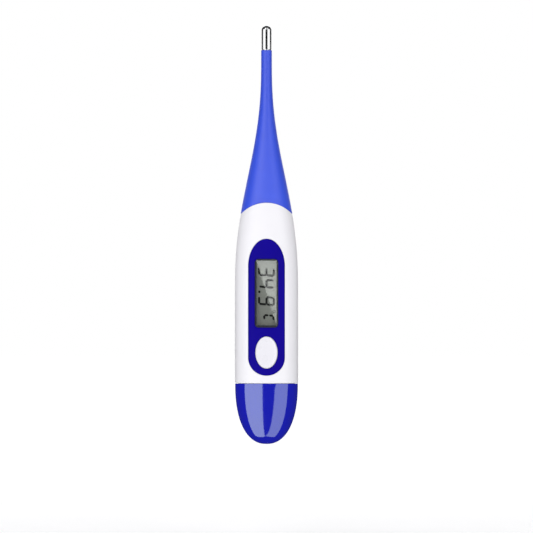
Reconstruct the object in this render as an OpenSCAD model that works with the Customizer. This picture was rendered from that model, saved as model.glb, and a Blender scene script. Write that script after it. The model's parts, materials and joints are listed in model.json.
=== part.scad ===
// Digital thermometer with a flexible probe, in millimetres.
// It stands upright: X across the handle, -Y out of the display, +Z towards the metal tip.
// The origin is the tail end of the battery cover, on the long axis.

/* [Handle] */
// Length from the tail of the battery cover to the end of the metal tip
overall_len = 132; // [130:0.5:134]
// Widest part of the handle
body_w = 20; // [19.8:0.1:20.6]
// Thickness of the handle before its back is flattened
body_d = 11; // [10.9:0.05:11.4]
// Distance from the long axis to the flat back
back_flat = 5.3; // [5.2:0.05:5.4]
// Length of the battery cover
cover_len = 19.2; // [19:0.1:19.4]
// Wall of the handle
wall = 1.0; // [0.9:0.05:1.1]
// Roundness of the handle's section: 2 is an ellipse, and more is squarer
body_power = 2.5; // [2.4:0.05:2.7]

/* [Probe] */
// Height at which the handle starts to narrow towards the probe
taper_bottom = 47; // [44:0.5:50]
// Height at which the sleeve reaches its thinnest
taper_top = 122; // [121:0.25:122.5]
// Diameter of the sleeve's thin end
sleeve_d = 3.4; // [3.3:0.05:3.6]
// Diameter of the metal tip
metal_d = 3.2; // [3.1:0.05:3.3]
// Length of metal that stands out of the sleeve
metal_len = 7.8; // [7.5:0.1:8.5]
// Diameter of the hollow that the sensor leads run through
lead_hole_d = 2.2; // [2:0.1:2.3]

/* [Display] */
// Width of the display bezel
bezel_w = 11.5; // [11.2:0.1:11.8]
// Lowest point of the bezel
bezel_z0 = 21.7; // [21.4:0.1:22]
// Highest point of the bezel
bezel_z1 = 64.7; // [64:0.1:65.5]
// Width of the window
window_w = 7.6; // [7.3:0.1:7.6]
// Lower edge of the window
window_z0 = 36.7; // [36.5:0.1:36.8]
// Upper edge of the window
window_z1 = 58.4; // [58:0.1:58.4]

/* [Button] */
// Width of the oval button
button_w = 7.0; // [6.6:0.1:7.1]
// Height of the oval button
button_h = 10.1; // [9.6:0.1:10.2]
// Height of the button's centre
button_z = 28.95; // [28.9:0.05:29]

/* [Hidden] */
around = 40; // points round a shell section
running = 0.05; // clearance between parts that slide or are pressed together by hand
slack = 0.1; // clearance round dropped-in parts
far = 40; // longer than any cut needs

sleeve_r = sleeve_d / 2;
metal_r = metal_d / 2;
lead_hole_r = lead_hole_d / 2;
metal_z0 = overall_len - metal_len;

// battery cover: a superelliptic dome over a straight spigot
tail_power = 2.3;
tail_tip = 0.9995; // leaves a small flat at the very end
cover_wall = 1.1;
socket_inset = 1.05; // from the handle's outline to the cover's socket
spigot_inset = socket_inset + running;
spigot_bore_inset = 2.0;
spigot_z0 = cover_len - 6;
shoulder_z = cover_len + 1.8;
seal_z = spigot_z0 + 3;
seal_h = 0.8;
seal_depth = 0.36;

// where the sleeve meets the handle: an arc seen from the front
arc_top = 76.05;
arc_r = 11.2;
arc_z = arc_top - arc_r;
depth_full = 66; // below this the handle has its full depth
anchor_z0 = 67.5;
anchor_z1 = 81.5;

// hinges of the flexible sleeve, from the handle to the tip, which bend in turn sideways and front to back
hinge_z = [92, 95.5, 99, 101.7, 104.4, 106.4, 108.4, 110.4, 112.4, 114.4, 116.4, 118.4, 120.4, 122.4];
hinge_bend = [3, 4, 5.5, 9, 12, 15, 17, 17, 17.5, 17.5, 17.5, 17.5, 17.5, 10];
hinge_gap = 0.04; // half the gap left between two rings on the long axis
rings = len(hinge_z) - 1;

// depths of the layers behind the display, from the front
front_y = -body_d / 2;
bezel_inset = 0.15;
bezel_plate_inset = 0.7;
bezel_plug_edge = 0.78;
plug_y = -3.75;
lens_y = -5.0;
lens_ledge_y = -4.6;
lens_back_y = -3.95;
lens_ledge = 0.6;
button_lip_y = -4.55;
button_crown_y = -5.75;
flange_edge = 0.6;
seal_sheet_y = -3.72;
frame_y = -3.0;
board_y = 0.2;
board_t = 0.8;
board_back_y = board_y + board_t;

// display glass
glass_z0 = window_z0 - 1.3;
glass_z1 = window_z1 + 1.4;
glass_x0 = -4.9;
glass_x1 = 4.5;
rear_glass_x0 = -3.7;
polariser_t = 0.15;
glass_t = 0.55;
front_glass_y = frame_y - 0.1 + polariser_t;
crystal_t = 0.06;
rear_glass_y = front_glass_y + glass_t + crystal_t;
reflector_y = rear_glass_y + glass_t;

// button cell, lying with its axis front to back
cell_r = 3.95;
cell_t = 3.6;
cell_z = 13.5;
cell_wall = 0.25;
leaf_t = 0.2;
leaf_gap = 0.03;

// buzzer and contact dome
buzzer_z = 57;
buzzer_r = 4.4;
dome_r = 2.5;
dome_rise = 0.35;
dome_t = 0.1;
stem_r = 1.0;

WHITE = "#f2f2f5";
BLUE = "#2a3fd6";
DEEP_BLUE = "#1c12a0";
COVER_BLUE = "#1a1ab8";
STEEL = "#c9ccd0";
SILICONE = "#dfe3e8";

// ---- outline of the body ----

function clamp(t) = min(1, max(0, t));
function smooth(t) = let (u = clamp(t)) u * u * (3 - 2 * u);
function smoother(t) = let (u = clamp(t)) u * u * u * (u * (6 * u - 15) + 10);
function signed_pow(v, p) = sign(v) * pow(abs(v), p);
function ring_name(i) = str("flex_ring_", i < 10 ? "0" : "", i);

// share of the full section that the rounded tail has at height z
function tail(z) = z >= cover_len ? 1
    : pow(1 - pow(min(tail_tip, (cover_len - z) / cover_len), tail_power), 1 / tail_power);
function half_w(z) = tail(z) * (sleeve_r + (body_w / 2 - sleeve_r)
    * smoother((taper_top - z) / (taper_top - taper_bottom)));
function half_d(z) = tail(z) * (sleeve_r + (body_d / 2 - sleeve_r)
    * smooth((taper_top - z) / (taper_top - depth_full)));
function power_at(z) = 2 + (body_power - 2) * smooth((taper_top - z) / (taper_top - depth_full));

// one loop of the outline of height z, drawn at height at, inset by the same amount all round
function section(z, inset = 0, at = undef) =
    let (p = 2 / power_at(z), a = half_w(z) - inset, b = half_d(z) - inset)
    [for (i = [0:around - 1]) let (t = 360 * i / around) [
        a * signed_pow(cos(t), p),
        min(b * signed_pow(sin(t), p), back_flat - inset),
        is_undef(at) ? z : at]];
function round_loop(r, z) =
    [for (i = [0:around - 1]) let (t = 360 * i / around) [r * cos(t), r * sin(t), z]];
function steps(z0, z1, n) = [for (i = [0:n]) z0 + (z1 - z0) * i / n];

// triangles between loop i and loop j, each of n points
function band(i, j, n) = [for (k = [0:n - 1]) let (m = (k + 1) % n)
    each [[i * n + k, j * n + k, j * n + m], [i * n + k, j * n + m, i * n + m]]];

// solid through a list of loops, closed by flat ends
module loft(loops) {
    n = len(loops[0]);
    last = len(loops) - 1;
    polyhedron(
        points = [for (loop = loops) each loop],
        faces = concat(
            [[for (k = [0:n - 1]) k]],
            [for (i = [0:last - 1]) each band(i, i + 1, n)],
            [[for (k = [n - 1:-1:0]) last * n + k]]));
}

// ring through a list of loops, the last of which joins the first
module ring_loft(loops) {
    n = len(loops[0]);
    polyhedron(
        points = [for (loop = loops) each loop],
        faces = [for (i = [0:len(loops) - 1]) each band(i, (i + 1) % len(loops), n)]);
}

// straight ring with the outline of height z, between two insets
module straight_ring(z, outer, inner, z0, z1) {
    ring_loft([section(z, outer, z0), section(z, outer, z1), section(z, inner, z1), section(z, inner, z0)]);
}

module block(x, y, z) {
    translate([x[0], y[0], z[0]]) cube([x[1] - x[0], y[1] - y[0], z[1] - z[0]]);
}

// outline in X and Z, pushed through from y[0] to y[1]
module front_prism(outline, y) {
    translate([0, y[1], 0]) rotate([90, 0, 0]) linear_extrude(y[1] - y[0]) polygon(outline);
}

// cylinder along Y
module rod_y(r, y, z, x = 0) {
    translate([x, y[1], z]) rotate([90, 0, 0]) cylinder(r = r, h = y[1] - y[0], $fn = 48);
}

// wire through a list of points
module wire(points, r) {
    for (i = [0:len(points) - 2]) hull() {
        translate(points[i]) sphere(r, $fn = 8);
        translate(points[i + 1]) sphere(r, $fn = 8);
    }
}

// everything under the arc where the sleeve meets the handle
module under_arc(r) {
    rod_y(r, [-far, far], arc_z);
    block([-far, far], [-far, far], [arc_z - far, arc_z]);
}

module over_arc() {
    difference() {
        block([-far, far], [-far, far], [arc_z, arc_z + far]);
        rod_y(arc_r, [-far, far], arc_z);
    }
}

// ---- display outlines, seen from the front ----

bezel_arch = 8.6; // height of the bezel's tall rounded top
bezel_foot = 5.6; // height of its rounded bottom
function bezel_outline(grow) =
    let (w = bezel_w / 2 + grow, z0 = bezel_z0 + bezel_foot, z1 = bezel_z1 - bezel_arch)
    concat(
        [for (i = [0:16]) let (t = 180 + 180 * i / 16) [w * cos(t), z0 + (bezel_foot + grow) * sin(t)]],
        [for (i = [0:16]) let (t = 180 * i / 16) [w * cos(t), z1 + (bezel_arch + grow) * sin(t)]]);
window_r = 1.2;
function window_outline(grow) =
    let (r = window_r + grow, x = window_w / 2 - window_r,
        z0 = window_z0 + window_r, z1 = window_z1 - window_r)
    [for (c = [[x, z1, 0], [-x, z1, 90], [-x, z0, 180], [x, z0, 270]]) each
        [for (i = [0:5]) let (t = c[2] + 18 * i) [c[0] + r * cos(t), c[1] + r * sin(t)]]];
function button_outline(grow) =
    [for (i = [0:31]) let (t = 360 * i / 32)
        [(button_w / 2 + grow) * cos(t), button_z + (button_h / 2 + grow) * sin(t)]];

// ---- casing ----

module handle_shell() {
    z1 = arc_top + 2;
    levels = concat([cover_len + running], steps(taper_bottom, z1, 11));
    color(WHITE) resize([body_w, 0, 0]) difference() {
        union() {
            loft([for (z = levels) section(z)]);
            straight_ring(cover_len, spigot_inset, spigot_bore_inset, spigot_z0, cover_len + 0.5);
        }
        loft([for (z = concat([shoulder_z], steps(taper_bottom, z1 + 1, 11))) section(z, wall)]);
        loft([section(cover_len, spigot_bore_inset, spigot_z0 - 1),
              section(cover_len, spigot_bore_inset, shoulder_z + 0.5)]);
        straight_ring(cover_len, spigot_inset - 0.5, spigot_inset + seal_depth + 0.02,
            seal_z - seal_h / 2 - running, seal_z + seal_h / 2 + running);
        over_arc();
        difference() {
            front_prism(bezel_outline(0.08), [front_y - 1, -2.5]);
            loft([for (z = steps(cover_len, depth_full, 8)) section(z, bezel_plate_inset + 0.05)]);
        }
        front_prism(bezel_outline(running - bezel_plug_edge), [front_y - 1, -2.5]);
    }
}

module battery_cover() {
    heights = concat([0], [for (t = [8:10:88]) cover_len * (1 - cos(t))]);
    color(COVER_BLUE) difference() {
        loft([for (z = concat(heights, [cover_len - running])) section(min(z, cover_len - running))]);
        loft([for (z = steps(1.5, spigot_z0 - 0.4, 5)) section(z, cover_wall)]);
        loft([section(cover_len, socket_inset, spigot_z0 - 0.2),
              section(cover_len, socket_inset, cover_len + 1)]);
        loft([section(cover_len, spigot_bore_inset, spigot_z0 - 1),
              section(cover_len, spigot_bore_inset, spigot_z0)]);
    }
}

module cover_seal() {
    middle = spigot_inset + seal_depth / 2;
    color("#20242c") ring_loft([for (i = [0:9]) let (t = -36 * i)
        section(cover_len, middle - seal_depth / 2 * cos(t) * 0.94, seal_z - seal_h / 2 * sin(t))]);
}

module display_bezel() {
    color(DEEP_BLUE) difference() {
        intersection() {
            loft([for (z = steps(cover_len, depth_full, 8)) section(z, bezel_inset)]);
            union() {
                difference() {
                    front_prism(bezel_outline(0), [front_y - 1, -2.5]);
                    loft([for (z = steps(cover_len - 1, depth_full + 1, 8)) section(z, bezel_plate_inset)]);
                }
                front_prism(bezel_outline(-bezel_plug_edge), [front_y - 1, plug_y]);
            }
        }
        front_prism(window_outline(0), [front_y - 1, 0]);
        front_prism(window_outline(lens_ledge + running), [lens_ledge_y - running, 0]);
        front_prism(button_outline(slack), [front_y - 1, 0]);
        front_prism(button_outline(flange_edge + 0.15), [button_lip_y, 0]);
    }
}

module display_lens() {
    color("#dfe8f0", 0.4) union() {
        front_prism(window_outline(-running), [lens_y, lens_ledge_y + 0.2]);
        front_prism(window_outline(lens_ledge), [lens_ledge_y + 0.06, lens_back_y]);
    }
}

// adhesive frame between the lens's ledge and the bezel
module lens_gasket() {
    color("#22242a") difference() {
        front_prism(window_outline(lens_ledge), [lens_ledge_y - 0.03, lens_ledge_y + 0.05]);
        front_prism(window_outline(running), [lens_ledge_y - 1, 0]);
    }
}

// ---- button ----

module power_button() {
    rim_y = front_y + 0.2;
    crown = button_crown_y - rim_y;
    function oval(y, share) = [for (i = [0:31]) let (t = 360 * i / 32)
        [button_w / 2 * share * cos(t), y, button_z + button_h / 2 * share * sin(t)]];
    color(WHITE) union() {
        loft(concat(
            [oval(button_lip_y + 0.1, 1), oval(rim_y, 1)],
            [for (s = [0.97, 0.9, 0.75, 0.5, 0.15]) oval(rim_y + crown * (1 - s * s), s)]));
        front_prism(button_outline(flange_edge), [button_lip_y + running, button_lip_y + 0.35]);
        rod_y(stem_r, [button_lip_y + 0.2, board_y - dome_rise - dome_t], button_z);
    }
}

module button_seal() {
    color(SILICONE) difference() {
        front_prism(button_outline(1.0), [seal_sheet_y, frame_y - 0.02]);
        front_prism(button_outline(-0.2), [seal_sheet_y + 0.35, 0]);
        rod_y(stem_r + 0.02, [-far, far], button_z);
    }
}

// shallow metal dome on the board, pressed flat by the button's stem
module snap_dome() {
    ball = (dome_r * dome_r + dome_rise * dome_rise) / (2 * dome_rise);
    color(STEEL) intersection() {
        difference() {
            translate([0, board_y - dome_rise + ball, button_z]) sphere(ball, $fn = 96);
            translate([0, board_y - dome_rise + ball + dome_t, button_z]) sphere(ball, $fn = 96);
        }
        rod_y(dome_r - 0.1, [board_y - 1, board_y - 0.01], button_z);
    }
}

// ---- inside the handle ----

frame_x = 5.3;
frame_back_y = 3.65;
rail_x = 4.5;
fin_x = 8.85;
tray_y = 2.9;
tray_x = 4.9;
tray_z0 = 8.8;
tray_z1 = 18.4;
frame_z0 = 21.6;
frame_z1 = 66;
neck_x = 4.3;
pocket_r = cell_r + 0.08;

// carrier of the display, the board and the button cell
module inner_frame() {
    color("#e4e4e0") difference() {
        union() {
            block([-tray_x, tray_x], [-tray_y, tray_y], [tray_z0, tray_z1]);
            block([-neck_x, neck_x], [frame_y, board_y - running], [tray_z1 - 0.5, frame_z0 + 0.5]);
            block([-frame_x, frame_x], [frame_y, board_y - running], [frame_z0, frame_z1]);
            block([-fin_x, fin_x], [-0.5, 0.1], [24, 46]);
            for (s = [-1, 1]) block(s > 0 ? [rail_x, frame_x] : [-frame_x, -rail_x],
                [board_y - 0.5, frame_back_y], [frame_z0, frame_z1]);
        }
        // cell pocket, open at the tail
        rod_y(pocket_r, [-cell_t / 2 - running, cell_t / 2 + running], cell_z);
        block([-pocket_r, pocket_r], [-cell_t / 2 - running, cell_t / 2 + running], [tray_z0 - 1, cell_z]);
        // finger notch and contact slots
        block([-2, 2], [-tray_y - 1, tray_y + 1], [tray_z0 - 1, tray_z0 + 2]);
        block([-1.7, 1.7], [-2.15, 2.15], [tray_z0 - 1, tray_z1 + 1]);
        block([-3, 3], [-2.3, 1], [tray_z1, tray_z1 + 4.2]);
        // display seat, zebra strip slot and the hollow behind the display
        block([glass_x0 - slack, glass_x1 + slack], [frame_y - 1, reflector_y + 0.15],
            [glass_z0 - slack, glass_z1 + slack]);
        block([glass_x0 - slack, rear_glass_x0 - 0.2], [frame_y - 1, board_y + 0.1],
            [glass_z0 + 0.6, glass_z1 - 0.6]);
        block([rear_glass_x0 + 0.6, glass_x1 - 0.6], [reflector_y + 0.9, board_y + 0.1],
            [glass_z0 + 1, glass_z1 - 1]);
        // guide for the button's stem, with room for the dome
        rod_y(stem_r + 0.15, [-far, far], button_z);
        rod_y(dome_r + 0.2, [board_y - dome_rise - 0.3, board_y + 1], button_z);
    }
}

board_x = 4.4;
board_z0 = 18.9;
board_z1 = 66.5;

module circuit_board() {
    color("#1f6b3a") difference() {
        block([-board_x, board_x], [board_y, board_back_y], [board_z0, board_z1]);
        for (x = [-0.35, 0.35]) rod_y(0.25, [-far, far], board_z1 - 2.5, x * 4);
    }
}

// epoxy dome over the bonded chip
module processor_blob() {
    rise = 1.0;
    ball = 5;
    color("#111214") intersection() {
        translate([0, board_back_y + rise - ball, 42]) sphere(ball, $fn = 96);
        block([-far, far], [board_back_y, board_back_y + 2], [0, 80]);
    }
}

module surface_mount_parts() {
    // centre of each part, across and up the board
    places = [[-3.2, 34], [-1.2, 34], [0.8, 34], [2.8, 34],
              [-3, 48.6], [3, 48.6], [-2.6, 25.5], [2.6, 25.5]];
    for (i = [0:len(places) - 1]) color(i % 2 == 0 ? "#b59a6a" : "#1a1a1c")
        translate([places[i][0] - 0.4, board_back_y, places[i][1] - 0.8]) cube([0.8, 0.45, 1.6]);
}

module front_polariser() {
    color("#8a8f86", 0.5) block([glass_x0 + 1.3, glass_x1 - 0.2],
        [front_glass_y - polariser_t, front_glass_y], [glass_z0 + 0.4, glass_z1 - 0.4]);
}

module lcd_front_glass() {
    color("#b9c2bd", 0.5)
        block([glass_x0, glass_x1], [front_glass_y, front_glass_y + glass_t], [glass_z0, glass_z1]);
}

// numerals read from the tip towards the tail, with their tops to +X
digit_h = 5.3;
digit_w = 2.95;
digit_x = -2.65;
stroke = 0.68;
lean = 0.09;
dot = [-2.25, 48.05];
degree = [2.4, 41.85];

// pointed bar from p to q, both given across and up a numeral
function bar(p, q) = let (d = (q - p) / norm(q - p) * stroke / 2, n = [-d[1], d[0]], k = 0.12)
    [p + k * d, p + d + n, q - d + n, q - k * d, q - d - n, p + d - n];
// lit bars of a numeral: top, upper right, lower right, foot, lower left, upper left, middle
function seven(w, h) = let (t = stroke / 2, a = [t, h - t], b = [w - t, h - t], c = [w - t, h / 2],
        d = [w - t, t], e = [t, t], f = [t, h / 2])
    [bar(a, b), bar(b, c), bar(c, d), bar(e, d), bar(e, f), bar(f, a), bar(f, c)];
module numeral(start_z, foot_x, w, h, lit) {
    bars = seven(w, h);
    for (i = lit) front_prism([for (p = bars[i]) [foot_x + p[1], start_z - p[0] - lean * p[1]]],
        [rear_glass_y - crystal_t + 0.01, rear_glass_y - 0.01]);
}

module lcd_segments() {
    color("#1b1c20") {
        numeral(56.1, digit_x, digit_w, digit_h, [0, 1, 2, 3, 6]);
        numeral(52.35, digit_x, digit_w, digit_h, [1, 2, 5, 6]);
        numeral(46.9, digit_x, digit_w, digit_h, [0, 1, 2, 3, 5, 6]);
        numeral(41.1, -1.05, 2.1, 3.55, [0, 3, 4, 5]);
        rod_y(0.37, [rear_glass_y - crystal_t + 0.01, rear_glass_y - 0.01], dot[1], dot[0]);
        difference() {
            rod_y(0.48, [rear_glass_y - crystal_t + 0.01, rear_glass_y - 0.01], degree[1], degree[0]);
            rod_y(0.26, [-far, far], degree[1], degree[0]);
        }
    }
}

module lcd_rear_glass() {
    color("#a9b0aa")
        block([rear_glass_x0, glass_x1], [rear_glass_y, rear_glass_y + glass_t], [glass_z0, glass_z1]);
}

module lcd_reflector() {
    color("#9a9c98") block([rear_glass_x0 + 0.1, glass_x1 - 0.1], [reflector_y, reflector_y + 0.12],
        [glass_z0 + 0.2, glass_z1 - 0.2]);
}

// layered rubber strip that carries the board's signals up to the ledge of the front glass
module zebra_strip() {
    color("#3a3a3e") block([glass_x0 + 0.02, glass_x0 + 0.92], [front_glass_y + glass_t, board_y],
        [glass_z0 + 0.7, glass_z1 - 0.7]);
}

foam_y = board_back_y + 1.3;

module buzzer_foam_ring() {
    color("#f0e9c8") difference() {
        rod_y(buzzer_r - 0.1, [board_back_y, foam_y], buzzer_z);
        rod_y(buzzer_r - 1.0, [-far, far], buzzer_z);
    }
}

module buzzer_plate() {
    color("#c9a24a") rod_y(buzzer_r, [foam_y, foam_y + 0.2], buzzer_z);
}

module buzzer_ceramic() {
    color("#e9e6dc") rod_y(buzzer_r - 1.4, [foam_y + 0.2, foam_y + 0.4], buzzer_z);
}

// one wire to the brass plate and one over its edge to the ceramic
module buzzer_wires() {
    r = 0.14;
    edge_z = buzzer_z - buzzer_r - 0.3;
    color("#b03030") wire([[-1.2, board_back_y + r, edge_z - 1.5], [-1.2, foam_y + 0.6, edge_z],
        [-1.2, foam_y + 0.4 + r, buzzer_z - 2]], r);
    color("#202020") wire([[1.2, board_back_y + r, edge_z - 1.5], [1.2, foam_y + 0.5, edge_z],
        [1.2, foam_y + 0.2 + r, buzzer_z - buzzer_r + 0.9]], r);
}

// ---- button cell and its contacts ----

module battery_can() {
    color(STEEL) difference() {
        rod_y(cell_r, [-cell_t / 2, cell_t / 2 - 0.2], cell_z);
        rod_y(cell_r - cell_wall, [-cell_t / 2 + cell_wall, far], cell_z);
    }
}

module battery_pellet() {
    color("#2b2b2b") rod_y(cell_r - cell_wall - 0.02, [-cell_t / 2 + cell_wall, cell_t / 2 - 0.9], cell_z);
}

module battery_gasket() {
    color("#1d1d1f") difference() {
        rod_y(cell_r - cell_wall - 0.02, [cell_t / 2 - 0.88, cell_t / 2 - 0.22], cell_z);
        rod_y(cell_r - 1.0, [-far, far], cell_z);
    }
}

module battery_lid() {
    color("#d8dadc") rod_y(cell_r - 1.02, [cell_t / 2 - 0.88, cell_t / 2], cell_z);
}

// side is -1 for the front leaf and 1 for the back one, and foot_y is the face of the board under its foot
module contact(side, foot_y) {
    leaf_y = side * (cell_t / 2 + leaf_gap);
    y = side > 0 ? [leaf_y, leaf_y + leaf_t] : [leaf_y - leaf_t, leaf_y];
    foot = side > 0 ? [foot_y + 0.02, foot_y + 0.02 + leaf_t] : [foot_y - 0.02 - leaf_t, foot_y - 0.02];
    color("#d6b55a") union() {
        block([-1.5, 1.5], y, [10, 19.7]);
        block([-1.5, 1.5], [min(y[0], foot[0]), max(y[1], foot[1])], [19.5, 19.7]);
        block([-1.5, 1.5], foot, [19.5, 22]);
    }
}

module positive_contact() {
    contact(-1, board_y);
}

module negative_contact() {
    contact(1, board_back_y);
}

// ---- flexible probe ----

// rigid liner pressed into the handle's open end, with the soft sleeve moulded over it
module sleeve_anchor() {
    levels = steps(anchor_z0, anchor_z1, 5);
    color("#d9dce2") ring_loft(concat(
        [for (z = levels) section(z, wall + running)],
        [for (i = [len(levels) - 1:-1:0]) section(levels[i], wall + 1.2)]));
}

// how far the rim of a ring stands back from hinge i at radius r, so that two rings meet at the full bend
function stand_back(i, r) = hinge_gap + r * tan(hinge_bend[i] / 2);
function rim_r(z) = max(half_w(z), half_d(z));

module sleeve_base() {
    z1 = hinge_z[0];
    color(BLUE) difference() {
        loft(concat(
            [for (z = steps(arc_z + 4, z1 - stand_back(0, rim_r(z1)), 8)) section(z)],
            [round_loop(lead_hole_r - 0.2, z1 - stand_back(0, lead_hole_r - 0.2))]));
        under_arc(arc_r + running);
        loft([for (z = steps(arc_z, anchor_z1 + running, 5)) section(z, wall)]);
        cylinder(r = lead_hole_r, h = overall_len, $fn = 48);
    }
}

// ring of sleeve between hinge i - 1 and hinge i, with coned ends
module flex_ring(i) {
    z0 = hinge_z[i - 1];
    z1 = hinge_z[i];
    low = stand_back(i - 1, rim_r(z0));
    high = stand_back(i, rim_r(z1));
    color(BLUE) ring_loft([
        section(z0 + low), section((z0 + z1) / 2), section(z1 - high),
        round_loop(lead_hole_r, z1 - stand_back(i, lead_hole_r)),
        round_loop(lead_hole_r, z0 + stand_back(i - 1, lead_hole_r))]);
}

neck_r = metal_r - 0.25;
neck_len = 1.1;
metal_wall = 0.22;

// last piece of sleeve, glued round the neck of the metal tip
module sleeve_end() {
    last = len(hinge_z) - 1;
    z0 = hinge_z[last];
    color(BLUE) ring_loft([
        section(z0 + stand_back(last, sleeve_r)), section(metal_z0 - running),
        round_loop(neck_r + running, metal_z0 - running),
        round_loop(neck_r + running, metal_z0 - neck_len - running),
        round_loop(lead_hole_r, metal_z0 - neck_len - running),
        round_loop(lead_hole_r, z0 + stand_back(last, lead_hole_r))]);
}

module sensor_cap() {
    ball_z = overall_len - metal_r;
    inside = metal_r - metal_wall;
    color(STEEL) difference() {
        union() {
            translate([0, 0, metal_z0]) cylinder(r = metal_r, h = ball_z - metal_z0, $fn = 64);
            translate([0, 0, ball_z]) sphere(metal_r, $fn = 64);
            translate([0, 0, metal_z0 - neck_len]) cylinder(r = neck_r, h = neck_len + 0.5, $fn = 64);
        }
        translate([0, 0, metal_z0 - neck_len - 1])
            cylinder(r = neck_r - metal_wall, h = neck_len + 2, $fn = 64);
        translate([0, 0, metal_z0 + 0.3]) cylinder(r = inside, h = ball_z - metal_z0 - 0.3, $fn = 64);
        translate([0, 0, ball_z]) sphere(inside, $fn = 64);
    }
}

bead_r = 0.55;
bead_z = overall_len - metal_r - 0.5;
lead_r = 0.15;
lead_x = 0.32;

module thermistor_bead() {
    color("#7a1f14") translate([0, 0, bead_z]) sphere(bead_r, $fn = 48);
}

// thermal epoxy that fills the metal tip round the bead
module sensor_potting() {
    ball_z = overall_len - metal_r;
    r = metal_r - metal_wall - 0.02;
    color("#e8e0c0") difference() {
        union() {
            translate([0, 0, metal_z0 + 0.6]) cylinder(r = r, h = ball_z - metal_z0 - 0.6, $fn = 64);
            translate([0, 0, ball_z]) sphere(r, $fn = 64);
        }
        translate([0, 0, bead_z]) sphere(bead_r + 0.01, $fn = 48);
        for (s = [-1, 1]) translate([s * lead_x, 0, metal_z0 - 1])
            cylinder(r = lead_r + 0.02, h = bead_z - metal_z0 + 0.9, $fn = 24);
    }
}

// two insulated wires from the board to the bead
module sensor_leads() {
    y = board_back_y + lead_r + 0.02;
    for (s = [-1, 1]) color(s > 0 ? "#c8641e" : "#3060c0")
        wire([[s * 1.4, y, board_z1 - 3.2], [s * 1.4, y, board_z1 + 1], [s * lead_x, 0, anchor_z0 + 6],
            [s * lead_x, 0, bead_z - bead_r - lead_r]], lead_r);
}

// ---- nodes ----

handle_shell();
display_bezel();
display_lens();
lens_gasket();
power_button();
button_seal();
battery_cover();
cover_seal();
inner_frame();
circuit_board();
processor_blob();
surface_mount_parts();
snap_dome();
front_polariser();
lcd_front_glass();
lcd_segments();
lcd_rear_glass();
lcd_reflector();
zebra_strip();
buzzer_plate();
buzzer_ceramic();
buzzer_foam_ring();
buzzer_wires();
battery_can();
battery_pellet();
battery_gasket();
battery_lid();
positive_contact();
negative_contact();
sleeve_anchor();
sleeve_base();
for (i = [1:rings]) {
    flex_ring(i);
}
sleeve_end();
sensor_cap();
thermistor_bead();
sensor_potting();
sensor_leads();
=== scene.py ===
import json
import math

import bpy
import numpy as np
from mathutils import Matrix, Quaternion, Vector


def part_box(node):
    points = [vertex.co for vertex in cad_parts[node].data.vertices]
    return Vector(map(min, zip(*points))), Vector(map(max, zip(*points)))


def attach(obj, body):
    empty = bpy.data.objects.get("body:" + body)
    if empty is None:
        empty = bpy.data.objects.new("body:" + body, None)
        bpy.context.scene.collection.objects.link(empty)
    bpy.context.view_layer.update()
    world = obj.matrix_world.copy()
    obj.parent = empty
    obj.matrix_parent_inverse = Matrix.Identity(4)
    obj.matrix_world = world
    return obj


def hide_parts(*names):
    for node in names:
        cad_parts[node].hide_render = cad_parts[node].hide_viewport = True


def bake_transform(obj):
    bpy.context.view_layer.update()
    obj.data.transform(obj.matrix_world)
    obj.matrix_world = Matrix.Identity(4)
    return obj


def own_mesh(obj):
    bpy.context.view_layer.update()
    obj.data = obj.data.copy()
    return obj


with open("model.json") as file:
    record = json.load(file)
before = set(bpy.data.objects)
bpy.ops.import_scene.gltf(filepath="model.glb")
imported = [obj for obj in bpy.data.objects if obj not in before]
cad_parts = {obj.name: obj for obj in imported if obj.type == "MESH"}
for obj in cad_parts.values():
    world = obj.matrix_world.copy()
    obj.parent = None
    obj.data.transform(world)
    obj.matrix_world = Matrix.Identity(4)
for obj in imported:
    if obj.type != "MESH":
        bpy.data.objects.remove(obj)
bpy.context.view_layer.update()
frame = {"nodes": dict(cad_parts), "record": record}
record = frame["record"]

# Lengths are in millimetres, and turned into metres as meshes, lights and the camera are made.
MM = 0.001


# ---------------------------------------------------------------- sizes

def box(node):
    """Lowest and highest corner of a CAD node."""
    lo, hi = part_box(node)
    return np.array(lo) / MM, np.array(hi) / MM


shell_lo, shell_hi = box("handle_shell")
cover_hi = box("battery_cover")[1]
tip_hi = box("sensor_cap")[1]
bezel_lo, bezel_hi = box("display_bezel")
button_lo, button_hi = box("power_button")
cell_lo, cell_hi = box("battery_can")
lid_lo, lid_hi = box("battery_lid")
seal_lo, seal_hi = box("cover_seal")
anchor_lo, anchor_hi = box("sleeve_anchor")

# metal tip: its top, its radius, the end of the sleeve on it, and the foot of its neck
TIP = tip_hi[2]
TIP_R = tip_hi[0]
METAL_Z = TIP - 7.8
NECK_Z = METAL_Z - 0.7

# body: half its width, half its depth and its back face; the joint above the battery cover
HALF_W = shell_hi[0]
HALF_D = -shell_lo[1]
BACK = shell_hi[1]
COVER = cover_hi[2] + 0.05

# the body narrows to the sleeve's thin end between these heights, first in width, then in depth
SLEEVE_R = 1.7
TAPER_LOW, TAPER_HIGH = 47.0, TIP - 10.0
DEEP = 66.0
TAIL_POWER = 2.3

# arc where the sleeve meets the handle, walls, and the bore for the leads
ARC_R = 11.2
ARC_Z = shell_hi[2] - ARC_R
WALL = 1.0
BORE = 1.1

# spigot under the handle: outside and bore as insets from the body, and its foot
SPIGOT, SPIGOT_BORE = 1.1, 2.0
SPIGOT_Z = shell_lo[2]

# hinges up the probe, the bodies they join, and the cuts between the pieces of the sleeve
bends = [j for j in record["behaviour"]["joints"] if j["type"] == "hinge"]
HINGES = [j["pos_m"][2] / MM for j in bends]
CHAIN = ["handle"] + [j["child"] for j in bends]
CUTS = ([HINGES[0] - 1.75] + [(a + b) / 2 for a, b in zip(HINGES, HINGES[1:])]
        + [HINGES[-1] + 1.0])

# points round a row of the body
N = 160
ANGLE = np.linspace(0, 2 * math.pi, N, endpoint=False)

# faces that meet at more than this many degrees make a sharp edge
SHARP = 32


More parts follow.
